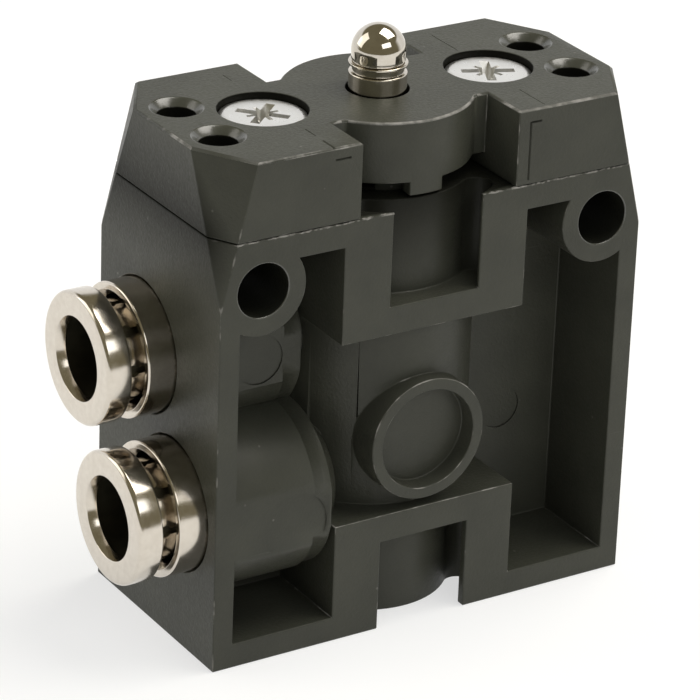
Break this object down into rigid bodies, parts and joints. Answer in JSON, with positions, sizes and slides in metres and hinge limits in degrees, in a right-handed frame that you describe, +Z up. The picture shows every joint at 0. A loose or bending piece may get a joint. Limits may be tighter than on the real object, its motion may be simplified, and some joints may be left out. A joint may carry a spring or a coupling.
{
  "type": "pneumatic valve",
  "caption": "Miniature plunger operated 3/2 poppet valve: open moulded body, screwed cap with sloping corners, domed steel plunger and push-in tube fittings on one side.",
  "frame": {"origin": "centre of the barrel's underside, on the plunger's axis", "axes": "+Z up along the plunger, +X along the row of fixing holes and away from the tube fittings, -Y out of the front face with the round boss"},
  "size_m": [0.0299, 0.0128, 0.0324],
  "materials": {
    "housing": "moulded, fine matte texture",
    "screws": "bright zinc plated",
    "plunger_steel": "turned and polished",
    "spring_steel": "drawn wire",
    "inner_brass": "turned",
    "seal_rubber": "moulded",
    "nickel_plate": "nickel plated, satin"
  },
  "bodies": {
    "housing": {"body": "housing", "cap": "housing", "cap_screws": "screws", "seal_carrier": "inner_brass", "carrier_oring": "seal_rubber", "stem_seal": "seal_rubber", "spacer_cage": "inner_brass", "seat_ring": "inner_brass", "seat_oring": "seal_rubber", "supply_cartridge": "nickel_plate", "supply_backing_ring": "inner_brass", "supply_tube_seal": "seal_rubber", "outlet_cartridge": "nickel_plate", "outlet_backing_ring": "inner_brass", "outlet_tube_seal": "seal_rubber"},
    "plunger_set": {"plunger": "plunger_steel", "exhaust_stem": "plunger_steel", "plunger_spring": "spring_steel"},
    "poppet_set": {"poppet": "inner_brass", "poppet_seal": "seal_rubber", "poppet_spring": "spring_steel"},
    "supply_collet": {"supply_collet": "nickel_plate"},
    "outlet_collet": {"outlet_collet": "nickel_plate"}
  },
  "joints": [
    {"name": "plunger_press", "type": "slide", "parent": "housing", "child": "plunger_set", "axis": [0, 0, -1], "range_m": [0, 0.002], "stiffness_N_per_m": 2500, "springref_m": -0.002, "deforming": ["plunger_spring"]},
    {"name": "poppet_lift", "type": "slide", "parent": "housing", "child": "poppet_set", "axis": [0, 0, -1], "range_m": [0, 0.00138], "stiffness_N_per_m": 800, "springref_m": -0.003, "deforming": ["poppet_spring"]},
    {"name": "supply_release", "type": "slide", "parent": "housing", "child": "supply_collet", "axis": [1, 0, 0], "range_m": [0, 0.0008]},
    {"name": "outlet_release", "type": "slide", "parent": "housing", "child": "outlet_collet", "axis": [1, 0, 0], "range_m": [0, 0.0008]}
  ],
  "couplings": [
    {"joint": "poppet_lift", "follows": "plunger_press", "ratio": 0.69}
  ]
}
